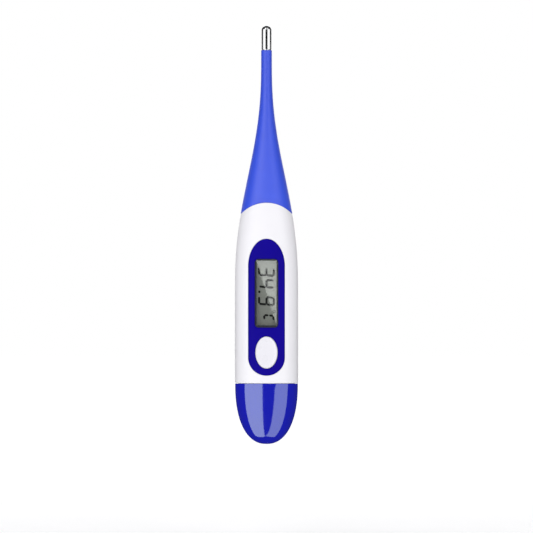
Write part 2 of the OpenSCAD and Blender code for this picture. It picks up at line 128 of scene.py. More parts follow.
# ---------------------------------------------------------------- the body's shape

def ease(t):
    t = np.clip(t, 0, 1)
    return t * t * (3 - 2 * t)


def ease5(t):
    t = np.clip(t, 0, 1)
    return t ** 3 * (t * (6 * t - 15) + 10)


def tail(z):
    """Share of the full size that is left in the rounded tail."""
    u = np.clip((COVER - z) / COVER, 0, 0.9999)
    return (1 - u ** TAIL_POWER) ** (1 / TAIL_POWER)


def deep_share(z):
    return ease((TAPER_HIGH - z) / (TAPER_HIGH - DEEP))


def half_w(z):
    wide_share = ease5((TAPER_HIGH - z) / (TAPER_HIGH - TAPER_LOW))
    return tail(z) * (SLEEVE_R + (HALF_W - SLEEVE_R) * wide_share)


def half_d(z):
    return tail(z) * (SLEEVE_R + (HALF_D - SLEEVE_R) * deep_share(z))


def power(z):
    """Power of the section's curve: 2 is an ellipse, and more is squarer."""
    return 2 + 0.5 * deep_share(z)


def flatten(y, inset):
    """Rolls the back over into its flat strip."""
    roll = 0.2
    start = BACK - inset - roll
    t = np.clip((y - start) / (2 * roll), 0, 1)
    return np.where(t > 0, start + 2 * roll * (t - t * t / 2), y)


def section(z, inset=0.0, at=None):
    """A row round the body, shaped as at height z (one value or one per point), drawn at `at`."""
    z = np.broadcast_to(np.asarray(z, float), (N,))
    p, a, b = 2 / power(z), half_w(z) - inset, half_d(z) - inset
    c, s = np.cos(ANGLE), np.sin(ANGLE)
    x = a * np.sign(c) * np.abs(c) ** p
    y = flatten(b * np.sign(s) * np.abs(s) ** p, inset)
    return np.stack([x, y, z if at is None else np.broadcast_to(float(at), (N,))], 1)


def joint_section(inset, at):
    """A row at height `at` with the body's section at the joint above the cover."""
    return section(COVER, inset, at)


def circle(r, z):
    return np.stack([r * np.cos(ANGLE), r * np.sin(ANGLE), np.full(N, float(z))], 1)


def arc_edge(grow=0.0):
    """Height, at each angle, of the arc where the sleeve meets the handle."""
    z = np.full(N, ARC_Z + 9.0)
    for _ in range(60):
        x = section(z)[:, 0]
        z = 0.5 * z + 0.5 * (ARC_Z + np.sqrt(np.maximum((ARC_R + grow) ** 2 - x ** 2, 0)))
    return z


def front_y(x, z):
    """The body's front face."""
    n = power(z)
    return -half_d(z) * (1 - np.clip(np.abs(x) / half_w(z), 0, 1) ** n) ** (1 / n)


# ---------------------------------------------------------------- meshes

def finish_mesh(me, angle=SHARP):
    me.validate()
    me.shade_smooth()
    me.set_sharp_from_angle(angle=math.radians(angle))


def link(name, data):
    obj = bpy.data.objects.new(name, data)
    bpy.context.scene.collection.objects.link(obj)
    return obj


def add_mesh(name, verts, faces, angle=SHARP):
    me = bpy.data.meshes.new(name)
    me.from_pydata([tuple(v) for v in np.asarray(verts) * MM], [], faces)
    finish_mesh(me, angle)
    return link(name, me)


def skin(rows, ring=False):
    """Vertices and faces through rows of points; ring joins the last row to the first."""
    rows = np.asarray(rows, float)
    m, n = rows.shape[:2]
    faces = []
    for i in range(m if ring else m - 1):
        j = (i + 1) % m
        faces += [(i * n + k, i * n + (k + 1) % n, j * n + (k + 1) % n, j * n + k)
                  for k in range(n)]
    if not ring:
        faces.append(tuple(range(n - 1, -1, -1)))
        faces.append(tuple((m - 1) * n + k for k in range(n)))
    return rows.reshape(-1, 3), faces


def loft(name, rows, ring=False, angle=SHARP):
    return add_mesh(name, *skin(rows, ring), angle)


def cut(obj, *cutters):
    """Takes closed meshes out of a piece, and removes them."""
    for c in cutters:
        m = obj.modifiers.new("cut", "BOOLEAN")
        m.operation, m.solver, m.object = "DIFFERENCE", "MANIFOLD", c
    bpy.context.view_layer.update()
    depsgraph = bpy.context.evaluated_depsgraph_get()
    made = bpy.data.meshes.new_from_object(obj.evaluated_get(depsgraph))
    obj.modifiers.clear()
    obj.data = made
    finish_mesh(made)
    for c in cutters:
        bpy.data.objects.remove(c)


def front_row(outline, y):
    """A row in the plane of the display; y is a number or one value per point."""
    outline = np.asarray(outline, float)
    return np.stack([outline[:, 0], np.broadcast_to(y, (len(outline),)), outline[:, 1]], 1)


def on_face(outline, depth):
    """A row that follows the body's front face at a depth below it."""
    outline = np.asarray(outline, float)
    return front_row(outline, front_y(outline[:, 0], outline[:, 1]) + depth)


def rim(outline, steps):
    """Rows that round over a rim; each step is how far out it's drawn and its depth in the face."""
    return [on_face(outline(grow), depth) for grow, depth in steps]


def flats(outline, steps):
    """Rows in planes of the display; each step is how far out it's drawn and its y."""
    return [front_row(outline(grow), y) for grow, y in steps]


def tube(points, r, sides=10):
    """Rows of a round wire along a path that never runs along `off`."""
    off = [0.3, 1.0, 0.2]
    points = [np.array(p, float) for p in points]
    rows = []
    for i, p in enumerate(points):
        d = points[min(i + 1, len(points) - 1)] - points[max(i - 1, 0)]
        d /= np.linalg.norm(d)
        side = np.cross(d, off)
        side /= np.linalg.norm(side)
        up = np.cross(d, side)
        rows.append([p + r * (math.cos(t) * side + math.sin(t) * up)
                     for t in np.linspace(0, 2 * math.pi, sides, endpoint=False)])
    return np.array(rows)


# ---------------------------------------------------------------- materials

class Graph:
    """A node material, built one socket at a time."""

    def __init__(self, name):
        self.material = bpy.data.materials.new(name)
        self.material.use_nodes = True
        self.tree = self.material.node_tree
        self.tree.nodes.clear()
        self.place = self.add("TexCoord").outputs["Object"]

    def add(self, kind, **inputs):
        node = self.tree.nodes.new("ShaderNode" + kind)
        for key, value in inputs.items():
            self.put(node.inputs[key.replace("_", " ")], value)
        return node

    def put(self, socket, value):
        if isinstance(value, bpy.types.NodeSocket):
            self.tree.links.new(value, socket)
        elif isinstance(value, (tuple, list)) and len(value) == 3 and socket.type == "RGBA":
            socket.default_value = (*value, 1)
        else:
            socket.default_value = value

    def noise(self, size, detail=3.0, stretch=(1, 1, 1)):
        """Noise with features of about size millimetres."""
        place = self.add("Mapping", Vector=self.place, Scale=stretch).outputs[0]
        return self.add("TexNoise", Vector=place, Scale=1 / (size * MM), Detail=detail).outputs[0]

    def span(self, value, lo, hi, start=0.3, stop=0.7):
        """Maps start to stop onto lo to hi; noise stays mostly between the two defaults."""
        node = self.add("MapRange", Value=value)
        ends = ("From Min", start), ("From Max", stop), ("To Min", lo), ("To Max", hi)
        for key, number in ends:
            node.inputs[key].default_value = number
        return node.outputs[0]

    def mix(self, share, a, b):
        node = self.tree.nodes.new("ShaderNodeMix")
        node.data_type = "RGBA"
        for socket, value in zip((0, 6, 7), (share, a, b)):
            self.put(node.inputs[socket], value)
        return node.outputs[2]

    def math(self, operation, a, b):
        node = self.tree.nodes.new("ShaderNodeMath")
        node.operation = operation
        self.put(node.inputs[0], a)
        self.put(node.inputs[1], b)
        return node.outputs[0]

    def blend(self, share, a, b):
        """Two shaders mixed."""
        node = self.add("MixShader", Fac=share)
        self.put(node.inputs[1], a.outputs[0])
        self.put(node.inputs[2], b.outputs[0])
        return node

    def bevel(self, radius):
        node = self.tree.nodes.new("ShaderNodeBevel")
        node.samples = 4
        node.inputs["Radius"].default_value = radius * MM
        return node.outputs[0]

    def edges(self, rounded):
        """1 on edges and 0 on open faces."""
        node = self.tree.nodes.new("ShaderNodeVectorMath")
        node.operation = "DOT_PRODUCT"
        self.put(node.inputs[0], rounded)
        self.put(node.inputs[1], self.add("NewGeometry").outputs["Normal"])
        return self.span(node.outputs["Value"], 1.0, 0.0, 0.75, 0.98)

    def end(self, surface):
        self.add("OutputMaterial", Surface=surface.outputs[0])
        return self.material


def linear(r, g, b):
    return tuple(c / 255 / 12.92 if c <= 10 else ((c / 255 + 0.055) / 1.055) ** 2.4
                 for c in (r, g, b))


def scaled(color, k):
    return tuple(min(1.0, c * k) for c in color)


def finish(name, color, rough=0.4, vary=0.06, patch=6.0, grain=0.12, bump=0.15, depth=0.01,
           rounded=0.08, wear=0.3, stretch=(1, 1, 1), rough_vary=0.06, **inputs):
    """A solid finish: broad colour drift, uneven shine, fine grain, and soft, slightly worn edges.

    patch and grain are the sizes of the drift and the grain, depth is the grain's height, and
    rounded the radius of the edges. The other inputs go straight to the Principled shader.
    """
    worn_size, worn_lift = 0.8, 1.35
    g = Graph(name)
    color = linear(*color)
    broad = g.noise(patch, 4)
    fine = g.noise(grain, 2, stretch)
    base = g.mix(g.span(broad, 0, 1), scaled(color, 1 - vary), scaled(color, 1 + vary))
    normal = None
    if rounded:
        normal = g.bevel(rounded)
        edge = g.math("MULTIPLY", g.edges(normal), g.span(g.noise(worn_size), 0, wear))
        base = g.mix(edge, base, scaled(color, worn_lift))
    bumped = g.add("Bump", Strength=bump, Distance=depth * MM, Height=fine)
    if normal is not None:
        g.put(bumped.inputs["Normal"], normal)
    uneven = g.span(g.noise(patch / 3, 5), -rough_vary, rough_vary)
    return g.end(g.add("BsdfPrincipled", Base_Color=base, Roughness=g.math("ADD", uneven, rough),
                       Normal=bumped.outputs[0], **inputs))


def clear(name, tint, shine, rough, slant_shine=0.9, frost_and_shade=0.0, frost_and_shade_tint=(176, 178, 158)):
    """Thin clear sheet: light passes straight through, and it mirrors more at a slant."""
    smear_size, smear_most = 3.0, 0.03
    ripple_size, ripple_height, ripple_strength = 0.4, 0.002, 0.05
    g = Graph(name)
    smear = g.span(g.noise(smear_size, 5), 0, smear_most)
    body = g.add("BsdfTransparent", Color=linear(*tint))
    gloss = g.add("BsdfGlossy", Color=(1, 1, 1), Roughness=g.math("ADD", smear, rough))
    ripple = g.add("Bump", Strength=ripple_strength, Distance=ripple_height * MM,
                   Height=g.noise(ripple_size, 2))
    g.put(gloss.inputs["Normal"], ripple.outputs[0])
    slant = g.add("LayerWeight", Blend=0.5).outputs["Facing"]
    share = g.span(g.math("POWER", slant, 4.0), shine, slant_shine, 0, 1)
    # share and tint of a diffuse veil over the sheet: pale frost by default, and dark navy painted
    # shade on the pane's edge
    if frost_and_shade:
        veil = g.add("BsdfDiffuse", Color=linear(*frost_and_shade_tint), Roughness=0.4)
        body = g.blend(frost_and_shade, body, veil)
    return g.end(g.blend(share, body, gloss))


def sleeve_rubber(name):
    """Soft satin rubber: broad sheen, faint haze, slightly deeper colour towards the thin end."""
    g = Graph(name)
    high = g.add("SeparateXYZ", Vector=g.place).outputs["Z"]
    along = g.span(high, 0, 1, ARC_Z * MM, METAL_Z * MM)
    base = g.mix(along, linear(40, 78, 222), linear(16, 62, 209))
    base = g.mix(g.span(g.noise(4, 4), 0, 0.35), base, linear(28, 64, 204))
    bumped = g.add("Bump", Strength=0.12, Distance=0.012 * MM, Height=g.noise(0.09, 2))
    rough = g.span(g.noise(2.5, 5), 0.38, 0.46)
    return g.end(g.add("BsdfPrincipled", Base_Color=base, Roughness=rough,
                       Normal=bumped.outputs[0], Specular_IOR_Level=0.8, Sheen_Weight=0.03,
                       Sheen_Roughness=0.4))


SOLID = {
    # outside
    "white_shell": dict(color=(229, 228, 233), rough=0.32, vary=0.006, grain=0.1, bump=0.05,
                        depth=0.005, rounded=0, rough_vary=0.02, Coat_Weight=0.1,
                        Coat_Roughness=0.25),
    "bezel_blue": dict(color=(16, 2, 134), rough=0.36, vary=0.05, grain=0.08, bump=0.05,
                       depth=0.005, rounded=0, Specular_IOR_Level=0.035),
    "cover_blue": dict(color=(9, 15, 172), rough=0.06, vary=0.03, grain=0.5, bump=0.03,
                       depth=0.003, rounded=0, rough_vary=0.015, IOR=1.66,
                       Specular_IOR_Level=1.0, Specular_Tint=(0.84, 1.0, 0.93),
                       Coat_Weight=0.75, Coat_Roughness=0.03),
    "button_white": dict(color=(222, 221, 228), rough=0.28, vary=0.006, bump=0.04, depth=0.005,
                         rounded=0, rough_vary=0.02, Coat_Weight=0.2, Coat_Roughness=0.15),
    "tip_steel": dict(color=(214, 215, 217), rough=0.12, vary=0.02, patch=1.5, grain=0.05,
                      bump=0.01, depth=0.003, stretch=(1, 1, 0.1), rounded=0, rough_vary=0.01,
                      Metallic=1.0),
    # display
    "crystal_dark": dict(color=(8, 8, 10), rough=0.6, vary=0.2, patch=1.2, rounded=0,
                         Specular_IOR_Level=0.1),
    "reflector_grey": dict(color=(122, 122, 119), rough=0.5, vary=0.05, patch=3, grain=0.05,
                           bump=0.2, rounded=0, stretch=(1, 1, 8), Coat_Weight=1.0,
                           Coat_Roughness=0.0, Coat_IOR=1.8),
    "black_adhesive": dict(color=(22, 22, 26), rough=0.6, vary=0.1),
    "zebra_rubber": dict(color=(58, 58, 60), rough=0.6, vary=0.3, patch=0.3,
                         stretch=(1, 1, 20)),
    # button and seals
    "silicone": dict(color=(216, 222, 230), rough=0.45, Subsurface_Weight=0.1),
    "spring_steel": dict(color=(205, 206, 210), rough=0.28, vary=0.04, grain=0.05,
                         stretch=(1, 1, 12), Metallic=1.0),
    "seal_black": dict(color=(22, 23, 26), rough=0.38, vary=0.1, grain=0.05, rounded=0.03),
    # frame, board and buzzer
    "frame_abs": dict(color=(222, 222, 214), rough=0.45, vary=0.04, grain=0.12, bump=0.2),
    "board_green": dict(color=(30, 98, 56), rough=0.35, vary=0.12, patch=1.5, grain=0.3,
                        bump=0.3, Coat_Weight=0.3),
    "epoxy_black": dict(color=(18, 18, 20), rough=0.2, vary=0.15, patch=1.0, grain=0.6,
                        bump=0.2),
    "part_ceramic": dict(color=(176, 150, 112), rough=0.5, vary=0.15, patch=0.8),
    "buzzer_brass": dict(color=(212, 178, 98), rough=0.3, grain=0.06, Metallic=1.0),
    "piezo_ceramic": dict(color=(232, 230, 220), rough=0.5, vary=0.05),
    "foam": dict(color=(232, 226, 196), rough=0.9, vary=0.1, patch=0.5, grain=0.15, bump=0.8,
                 depth=0.05),
    "wire_sheath": dict(color=(176, 50, 40), rough=0.4),
    # cell
    "cell_steel": dict(color=(214, 215, 216), rough=0.2, vary=0.03, patch=2.0, grain=0.04,
                       bump=0.2, stretch=(1, 1, 10), rounded=0.05, Metallic=1.0,
                       Anisotropic=0.4),
    "cell_paste": dict(color=(44, 44, 44), rough=0.8, vary=0.2, bump=0.5),
    "cell_gasket": dict(color=(28, 28, 30), rough=0.4),
    "contact_gilt": dict(color=(226, 196, 122), rough=0.25, vary=0.06, patch=1.5, grain=0.05,
                         stretch=(12, 1, 1), Metallic=1.0),
    # probe
    "liner_abs": dict(color=(218, 222, 228), rough=0.5),
    "bead_glass": dict(color=(122, 32, 20), rough=0.1, vary=0.2, patch=0.6),
    "potting_resin": dict(color=(230, 224, 194), rough=0.2, Coat_Weight=0.4),
    "lead_sheath": dict(color=(200, 100, 34), rough=0.4),
}
CLEAR = {
    "clear_acrylic": dict(tint=(252, 253, 253), shine=0.02, rough=0.02),
    "polariser": dict(tint=(246, 247, 243), shine=0.003, rough=0.3, slant_shine=0.1),
    "lcd_glass": dict(tint=(252, 254, 253), shine=0.003, rough=0.1, slant_shine=0.1),
}
M = {name: finish(name, **look) for name, look in SOLID.items()}
M.update((name, clear(name, **look)) for name, look in CLEAR.items())
M["sleeve_blue"] = sleeve_rubber("sleeve_blue")
# The pane's edge: a frosted edge, painted dark navy as painted shade of the window's recess round
# the display
PANE_EDGE_SHADE = clear("clear_acrylic_edge_painted_shade", (110, 112, 140), 0.01, 0.2, frost_and_shade=0.8, frost_and_shade_tint=(18, 20, 52))


def paint(obj, name):
    obj.data.materials.clear()
    obj.data.materials.append(M[name])


def piece(obj, slot, body, *nodes):
    """Paints a piece, rides it on a body, and hides the CAD nodes it takes the place of."""
    paint(obj, slot)
    if body:
        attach(obj, body)
    if nodes:
        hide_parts(*nodes)
    return obj


# ---------------------------------------------------------------- outlines of the display side

# half width, foot and top of the window's opening and of the pane's raised part, and their corners
WINDOW_X, WINDOW_Z, WINDOW_R = 3.78, (36.7, 58.45), 1.25
PANE_X, PANE_Z, PANE_R = 3.43, (37.2, 58.15), 0.95

# half width, half height and middle of the button
BUTTON_RIM = 0.6
BUTTON_A = button_hi[0] - BUTTON_RIM
BUTTON_B = (button_hi[2] - button_lo[2]) / 2 - BUTTON_RIM
BUTTON_Z = (button_hi[2] + button_lo[2]) / 2


def bezel_outline(grow=0.0, k=44, straight=14):
    foot, arch = 5.6, 8.6
    w, z0, z1 = bezel_hi[0] + grow, bezel_lo[2] + foot, bezel_hi[2] - arch
    low = [(w * math.cos(t), z0 + (foot + grow) * math.sin(t))
           for t in np.linspace(math.pi, 2 * math.pi, k)]
    high = [(w * math.cos(t), z1 + (arch + grow) * math.sin(t))
            for t in np.linspace(0, math.pi, k)]
    side = np.linspace(z0, z1, straight)[1:-1]
    return np.array(low + [(w, z) for z in side] + high + [(-w, z) for z in side[::-1]])


def round_box(half, heights, r, grow, k=10, along=8):
    """Outline of a box with rounded corners; each side has points along it."""
    z0, z1 = heights
    grown = r + grow
    corners = [(half - r, z1 - r, 0), (-half + r, z1 - r, 90),
               (-half + r, z0 + r, 180), (half - r, z0 + r, 270)]

    def on_corner(corner, turn):
        x, z, start = corner
        t = math.radians(start + turn)
        return x + grown * math.cos(t), z + grown * math.sin(t)

    out = []
    for i, corner in enumerate(corners):
        arc = [on_corner(corner, t) for t in np.linspace(0, 90, k)]
        last, then = np.array(arc[-1]), np.array(on_corner(corners[(i + 1) % 4], 0))
        out += arc + [tuple(last + (then - last) * s) for s in np.linspace(0, 1, along)[1:-1]]
    return np.array(out)


def window(grow=0.0):
    return round_box(WINDOW_X, WINDOW_Z, WINDOW_R, grow)


def pane(grow=0.0):
    return round_box(PANE_X, PANE_Z, PANE_R, grow)


def oval(grow=0.0, a=BUTTON_A, b=BUTTON_B):
    t = np.linspace(0, 2 * math.pi, 96, endpoint=False)
    return np.stack([(a + grow) * np.cos(t), BUTTON_Z + (b + grow) * np.sin(t)], 1)


# y of a plane in front of the whole body, where cutters end
AHEAD = -7.5


# ---------------------------------------------------------------- handle

def handle():
    """The shell: up its outside to the arc, down its inside, and round the spigot and groove."""
    foot, top, level = cover_hi[2] + 0.1, arc_edge(), 64
    rows = [section(foot, 0.1), section(foot + 0.03, 0.03), section(foot + 0.1)]
    rows += [section(z) for z in np.linspace(foot + 0.6, level, 46)]
    rows += [section(level + (top - 0.25 - level) * s) for s in np.linspace(0.1, 1, 14)]
    rows += [section(top - 0.1, 0.02), section(top - 0.03, 0.06), section(top, 0.16)]

    rows += [section(top, WALL)]
    rows += [section(level + (top - level) * s, WALL) for s in (0.6, 0.2)]
    rows += [section(z, WALL) for z in np.linspace(62, COVER + 1.8, 20)]

    # inset and height: down the bore, round the spigot's foot and up over the O-ring's groove
    low, high = seal_lo[2] - 0.05, seal_hi[2] + 0.05
    groove = SPIGOT + 0.38
    rows += [joint_section(inset, z) for inset, z in (
        (SPIGOT_BORE, COVER + 1.8), (SPIGOT_BORE, SPIGOT_Z + 0.15), (SPIGOT_BORE - 0.12, SPIGOT_Z),
        (SPIGOT + 0.15, SPIGOT_Z), (SPIGOT + 0.04, SPIGOT_Z + 0.06), (SPIGOT, SPIGOT_Z + 0.2),
        (SPIGOT, low), (groove, low), (groove, high), (SPIGOT, high), (SPIGOT, foot))]
    shell = loft("handle_shell_skin", rows, ring=True)

    o = bezel_outline
    recess = flats(o, [(0.03, -2.5)])
    recess += rim(o, ((0.03, 0.3), (0.04, 0.1), (0.08, 0.035), (0.15, -0.01), (0.4, -0.3)))
    recess += flats(o, [(0.4, AHEAD)])
    cut(shell, loft("recess", recess))
    piece(shell, "white_shell", "handle", "handle_shell")


def bezel():
    """The blue plate: a narrower back part, a rounded edge and a face 0.12 below the body's."""
    o, sunk, back = bezel_outline, 0.12, -0.75
    under = on_face(o(-0.02), 0.75)
    rows = [front_row(o(back), -3.75), front_row(o(back), under[:, 1]), under]
    rows += rim(o, ((-0.02, 0.3), (-0.03, 0.2), (-0.07, 0.15), (-0.15, sunk)))
    rows += rim(o, [(-g, sunk) for g in (0.7, 1.3, 2.0, 2.8, 3.6, 4.4, 5.0, 5.4)])
    plate = loft("display_bezel_skin", rows)

    # each opening: the pocket behind, its ledge, the rounded lip, and out past the face
    hole = flats(window, ((0.55, -2.0), (0.55, -4.62), (-0.1, -4.62)))
    hole += rim(window, ((-0.06, 0.5), (-0.02, 0.3), (0.06, 0.19), (0.2, sunk), (0.3, -0.3)))
    hole += flats(window, [(0.3, AHEAD)])
    well = flats(oval, ((0.75, -2.0), (0.75, -4.55), (0.07, -4.55)))
    well += rim(oval, ((0.07, 0.34), (0.12, 0.22), (0.24, sunk), (0.4, -0.3)))
    well += flats(oval, [(0.4, AHEAD)])
    cut(plate, loft("hole", hole), loft("well", well))
    piece(plate, "bezel_blue", "handle", "display_bezel")


def let_light_in(obj):
    """A clear layer in front of the display: only rays straight from the camera meet it."""
    obj.visible_shadow = obj.visible_diffuse = obj.visible_glossy = False


def lens():
    """The clear window with its flange and raised pane, and the adhesive frame round the pane."""
    flange, seat, painted_shade_band = 0.45, -4.54, 0.24
    rows = flats(window, ((flange, -3.95), (flange, seat)))
    rows += flats(pane, ((0.0, seat), (0.0, -4.92), (-0.04, -4.97), (-0.2, -5.0), (-0.26, -5.0)))
    sheet = loft("display_lens_skin", rows, angle=20)
    piece(sheet, "clear_acrylic", "handle", "display_lens")
    # second slot: painted shade on the pane's edge band, standing in for the shadow of the window's
    # recess
    sheet.data.materials.append(PANE_EDGE_SHADE)
    let_light_in(sheet)
    whole_face = 5e-6  # square metres; only the end faces are as large
    for p in sheet.data.polygons:
        x, y, z = p.center / MM
        inside = abs(x) < PANE_X - painted_shade_band and PANE_Z[0] + painted_shade_band < z < PANE_Z[1] - painted_shade_band
        if y < -4.6 and not inside and p.area < whole_face:
            p.material_index = 1

    front, back, outer, inner = -4.56, -4.61, window(0.43), pane(0.03)
    frame_rows = [front_row(outer, front), front_row(outer, back), front_row(inner, back),
                  front_row(inner, front)]
    gasket = loft("lens_gasket_skin", frame_rows, ring=True)
    piece(gasket, "black_adhesive", "handle", "lens_gasket")


def button():
    """The button: stem, flange, then its rim and shallow dish."""
    stem = oval(a=1.0, b=1.0)
    rows = [front_row(stem, button_hi[1]), front_row(stem, -4.2)]
    rows += flats(oval, ((0.6, -4.2), (0.6, -4.5), (0.0, -4.5), (0.0, -5.15)))
    # distance in from the edge, and y
    rows += flats(oval, [(-g, -y) for g, y in (
        (0.02, 5.32), (0.07, 5.45), (0.15, 5.54), (0.26, 5.6), (0.38, 5.62), (0.5, 5.61),
        (0.62, 5.575), (0.76, 5.53), (0.92, 5.505), (1.2, 5.495), (1.8, 5.5), (2.5, 5.505),
        (3.0, 5.505))])
    piece(loft("power_button_skin", rows), "button_white", "button", "power_button")


# ---------------------------------------------------------------- tail

def cover():
    """The battery cover: up its outside, over the rim, down the mouth and round its inside."""
    rim_z, mouth, wall = cover_hi[2], SPIGOT - 0.05, 1.15
    rows = [section(COVER * (1 - math.cos(math.radians(t)))) for t in np.linspace(1.2, 84, 70)]
    rows += [section(rim_z - 0.1), section(rim_z - 0.03, 0.02), section(rim_z, 0.07),
             section(rim_z, SPIGOT - 0.12)]
    rows += [joint_section(mouth, rim_z - 0.1), joint_section(mouth, SPIGOT_Z - 0.2),
             joint_section(SPIGOT + 0.1, SPIGOT_Z - 0.25)]
    rows += [section(z, wall) for z in np.linspace(SPIGOT_Z - 0.6, 1.6, 24)]
    piece(loft("battery_cover_skin", rows), "cover_blue", "cover", "battery_cover")


def seal():
    """The O-ring in the spigot's groove."""
    mid, half = (seal_lo[2] + seal_hi[2]) / 2, (seal_hi[2] - seal_lo[2]) / 2
    deep, across = SPIGOT + 0.19, 0.17
    rows = [joint_section(deep - across * math.cos(t), mid + half * math.sin(t))
            for t in np.linspace(-math.pi, math.pi, 16, endpoint=False)]
    ring = loft("cover_seal_skin", rows, ring=True, angle=60)
    piece(ring, "seal_black", "handle", "cover_seal")


def lathe(name, profile, z, ring=False):
    """Turned about a line along Y at height z; profile is (radius, y)."""
    n = 96
    t = np.linspace(0, 2 * math.pi, n, endpoint=False)
    rows = [np.stack([r * np.cos(t), np.full(n, float(y)), z + r * np.sin(t)], 1)
            for r, y in profile]
    return loft(name, rows, ring)


def cell():
    """The button cell: steel can with its pressed face, gasket ring and lid."""
    z, r = (cell_hi[2] + cell_lo[2]) / 2, cell_hi[0]
    f, b = cell_lo[1], cell_hi[1]
    axis = 0.05
    can = [(axis, f + 0.25), (r - 0.25, f + 0.25), (r - 0.25, b - 0.05), (r - 0.16, b),
           (r - 0.06, b - 0.04), (r, b - 0.2), (r, f + 0.4), (r - 0.05, f + 0.18),
           (r - 0.17, f + 0.05), (r - 0.35, f), (r - 1.0, f), (r - 1.06, f + 0.05),
           (r - 1.2, f + 0.05), (r - 1.26, f), (axis, f)]
    piece(lathe("battery_can_skin", can, z), "cell_steel", "cell", "battery_can")

    gasket_lo, gasket_hi = box("battery_gasket")
    f, b = gasket_lo[1], gasket_hi[1]
    ring = [(r - 0.27, b), (r - 0.45, b + 0.06), (r - 0.8, b + 0.06), (r - 1.0, b), (r - 1.0, f),
            (r - 0.27, f)]
    piece(lathe("battery_gasket_skin", ring, z, ring=True), "cell_gasket", "cell",
          "battery_gasket")

    r, f, b = lid_hi[0], lid_lo[1], lid_hi[1]
    lid = [(axis, b), (r - 0.9, b), (r - 0.6, b - 0.05), (r - 0.25, b - 0.12),
           (r - 0.05, b - 0.3), (r, b - 0.5), (r, f), (axis, f)]
    piece(lathe("battery_lid_skin", lid, z), "cell_steel", "cell", "battery_lid")


# ---------------------------------------------------------------- probe

def sleeve():
    """A base on the handle, one piece across each hinge, and an end piece, with matching rims."""
    first, low = CUTS[0], arc_edge(0.05)
    close, spacing = 0.02, 0.22  # a row this close to each rim keeps the shading even across it
    rows = [section(low, 0.16), section(low + 0.03, 0.06), section(low + 0.1, 0.02),
            section(low + 0.25)]
    rows += [section(low + 0.25 + (first - low - 0.25) * s) for s in np.linspace(0, 1, 26)[1:-1]]
    rows += [section(first - close), section(first), circle(BORE, first),
             circle(BORE, anchor_hi[2] + 0.1), section(anchor_hi[2] + 0.1, WALL + 0.1),
             section(low, WALL)]
    base = loft("sleeve_00", rows, ring=True, angle=50)
    piece(base, "sleeve_blue", "handle", "sleeve_base")

    for i, (a, b) in enumerate(zip(CUTS, CUTS[1:]), 1):
        between = np.linspace(a, b, max(9, int((b - a) / spacing)))[1:-1]
        rows = [section(a), section(a + close)] + [section(z) for z in between]
        rows += [section(b - close), section(b), circle(BORE, b)]
        rows += [circle(BORE, z) for z in between[::-1]] + [circle(BORE, a)]
        part = loft(f"sleeve_{i:02d}", rows, ring=True, angle=50)
        nodes = [f"flex_ring_{i:02d}"] if i < len(HINGES) else []
        piece(part, "sleeve_blue", None, *nodes)
        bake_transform(part)

    last, end, neck = CUTS[-1], METAL_Z - 0.05, TIP_R - 0.2
    rows = [section(last), section(last + close), section(end - 0.12), section(end - 0.04, 0.02),
            section(end, 0.08), circle(neck, end), circle(neck, last)]
    part = loft("sleeve_15", rows, ring=True, angle=50)
    piece(part, "sleeve_blue", CHAIN[-1], "sleeve_end")


def metal_tip():
    """The sensor cap: down its inside, round the neck in the sleeve, and up to the dome."""
    r, inner, neck = TIP_R, TIP_R - 0.22, TIP_R - 0.25
    bore, top = neck - 0.22, TIP - r
    bow = [math.radians(a) for a in np.linspace(0, 88.5, 28)]
    rows = [circle(inner * math.cos(a), top + inner * math.sin(a)) for a in bow[::-1]]
    rows += [circle(size, METAL_Z + dz) for size, dz in ((inner, 0.3), (bore, 0.3))]
    rows += [circle(bore, NECK_Z), circle(neck, NECK_Z)]
    rows += [circle(size, METAL_Z + dz) for size, dz in (
        (neck, 0), (r - 0.07, 0), (r - 0.02, 0.02), (r, 0.08), (r, 0.2), (r, 2.5))]
    rows += [circle(r, top - 0.3)]
    rows += [circle(r * math.cos(a), top + r * math.sin(a)) for a in bow]
    piece(loft("sensor_cap_skin", rows), "tip_steel", CHAIN[-1], "sensor_cap")


def lead_pair(name, path, r):
    """Two wires, one the mirror image of the other."""
    both = [skin(tube([(side * x, y, z) for x, y, z in path], r)) for side in (1, -1)]
    verts = np.concatenate([v for v, _ in both])
    (one, faces), (_, others) = both
    faces = faces + [tuple(k + len(one) for k in f) for f in others]
    return add_mesh(name, verts, faces, angle=60)


def leads():
    """The two leads: a fixed run in the handle, a piece across each hinge, and the end."""
    bead_foot = box("thermistor_bead")[0][2]
    lead_lo, lead_hi = box("sensor_leads")
    r, x = 0.15, 0.32
    back, wide, start = lead_hi[1] - r, lead_hi[0] - r, lead_lo[2] + r
    path = [(wide, back, start), (wide, back, start + 3), (wide - 0.1, back, start + 4.5),
            (x + 0.1, 0.1, anchor_lo[2] + 5), (x, 0, anchor_lo[2] + 7), (x, 0, CUTS[0])]
    piece(lead_pair("sensor_leads_00", path, r), "lead_sheath", "handle", "sensor_leads")
    for i, (a, b) in enumerate(zip(CUTS, CUTS[1:]), 1):
        path = [(x, 0, z) for z in np.linspace(a, b, 8)]
        part = lead_pair(f"sensor_leads_{i:02d}", path, r)
        piece(part, "lead_sheath", None)
        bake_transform(part)
    path = [(x, 0, z) for z in (CUTS[-1], (CUTS[-1] + bead_foot) / 2, bead_foot - 0.02)]
    piece(lead_pair("sensor_leads_15", path, r), "lead_sheath", CHAIN[-1])


# ---------------------------------------------------------------- inside

def soft_copy(node, slot):
    """A copy of a CAD node, with a mesh of its own, that rides on the handle in the node's place.
    """
    made = link(f"{node}_skin", frame["nodes"][node].data.copy())
    piece(made, slot, "handle", node)
    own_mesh(made)


